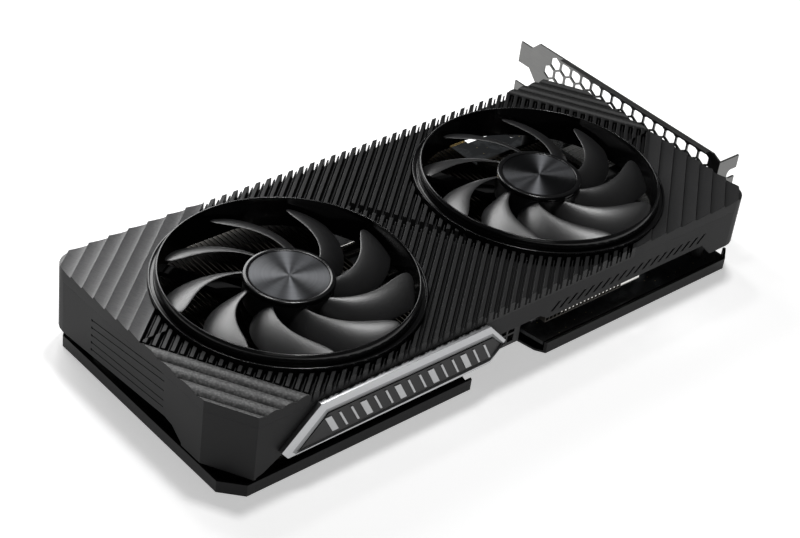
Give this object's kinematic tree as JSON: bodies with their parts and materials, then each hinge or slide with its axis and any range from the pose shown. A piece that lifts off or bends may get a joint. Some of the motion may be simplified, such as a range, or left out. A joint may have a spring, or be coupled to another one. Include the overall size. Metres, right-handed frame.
{
  "type": "graphics card",
  "caption": "Two-slot graphics card with sickle-bladed fans in a ribbed black shroud, backplate, finned cooler and honeycomb steel bracket.",
  "frame": {"origin": "middle of the backplate's flat underside, midway between the fan axes", "axes": "+X along the card towards the bracket, +Y towards the slot connector, +Z out of the fans"},
  "size_m": [0.2797, 0.1432, 0.0401],
  "materials": {
    "shroud_plastic": "fine moulded grain, black",
    "rib_plastic": "fine moulded grain, charcoal",
    "step_panel": "streaked satin grey",
    "ridge_panel": "leather-like grain, dark grey",
    "ring_plastic": "gloss black",
    "badge_metal": "brushed, clear lacquer",
    "badge_black": "satin black",
    "fan_plastic": "satin black",
    "cap_metal": "radially turned, dark tint",
    "magnet": "bonded ferrite",
    "steel": "plain ground",
    "sintered_bronze": "sintered",
    "winding": "enamelled copper wire",
    "board_green": "small driver board",
    "board_black": "solder mask, black",
    "gold": "gold plated",
    "substrate": "chip carrier",
    "silicon": "polished die",
    "chip_black": "moulded package",
    "choke_grey": "pressed ferrite",
    "can_metal": "drawn can",
    "socket_black": "moulded socket",
    "pin_metal": "tinned",
    "header_white": "moulded header",
    "socket_shell": "stamped shell",
    "bracket_steel": "nickel-plated steel",
    "screw_black": "black oxide",
    "screw_steel": "zinc plated",
    "fin_metal": "thin rolled fin",
    "pipe_metal": "nickel-plated copper",
    "copper_plate": "milled copper",
    "plate_metal": "stamped sheet",
    "pad": "soft thermal pad",
    "backplate_black": "fine textured black",
    "lead_black": "sleeved lead"
  },
  "bodies": {
    "card": {"shroud_shell": "shroud_plastic", "rib_grille": "rib_plastic", "panel_far_left": "step_panel", "panel_near_right": "step_panel", "panel_near_left": "ridge_panel", "panel_far_right": "ridge_panel", "badge_frame": "badge_metal", "badge_plate": "badge_black", "heat_pipes": "pipe_metal", "cold_plate": "copper_plate", "memory_plate": "plate_metal", "fin_stack_left": "fin_metal", "fin_stack_right": "fin_metal", "thermal_pads": "pad", "circuit_board": "board_black", "edge_contacts": "gold", "chip_substrate": "substrate", "chip_die": "silicon", "memory_chips": "chip_black", "power_chokes": "choke_grey", "power_transistors": "chip_black", "capacitors": "can_metal", "power_socket": "socket_black", "power_pins": "pin_metal", "fan_headers": "header_white", "display_socket_wide": "socket_shell", "display_sockets": "socket_shell", "socket_blades": "socket_black", "bracket": "bracket_steel", "bracket_screws": "screw_steel", "backplate": "backplate_black", "backplate_screws": "screw_black", "standoffs": "screw_steel", "spring_screws": "screw_steel", "screw_springs": "steel", "fan_screws": "screw_black", "fan_ring_left": "ring_plastic", "motor_base_left": "shroud_plastic", "bearing_sleeve_left": "sintered_bronze", "stator_left": "winding", "driver_board_left": "board_green", "fan_lead_left": "lead_black", "fan_ring_right": "ring_plastic", "motor_base_right": "shroud_plastic", "bearing_sleeve_right": "sintered_bronze", "stator_right": "winding", "driver_board_right": "board_green", "fan_lead_right": "lead_black"},
    "fan_left": {"rotor_left": "fan_plastic", "hub_trim_left": "ring_plastic", "hub_cap_left": "cap_metal", "magnet_ring_left": "magnet", "fan_shaft_left": "steel"},
    "fan_right": {"rotor_right": "fan_plastic", "hub_trim_right": "ring_plastic", "hub_cap_right": "cap_metal", "magnet_ring_right": "magnet", "fan_shaft_right": "steel"}
  },
  "joints": [
    {"name": "fan_left_spin", "type": "hinge", "parent": "card", "child": "fan_left", "pos_m": [-0.0642, 0, 0.03], "axis": [0, 0, 1], "continuous": true},
    {"name": "fan_right_spin", "type": "hinge", "parent": "card", "child": "fan_right", "pos_m": [0.0642, 0, 0.03], "axis": [0, 0, 1], "continuous": true}
  ]
}
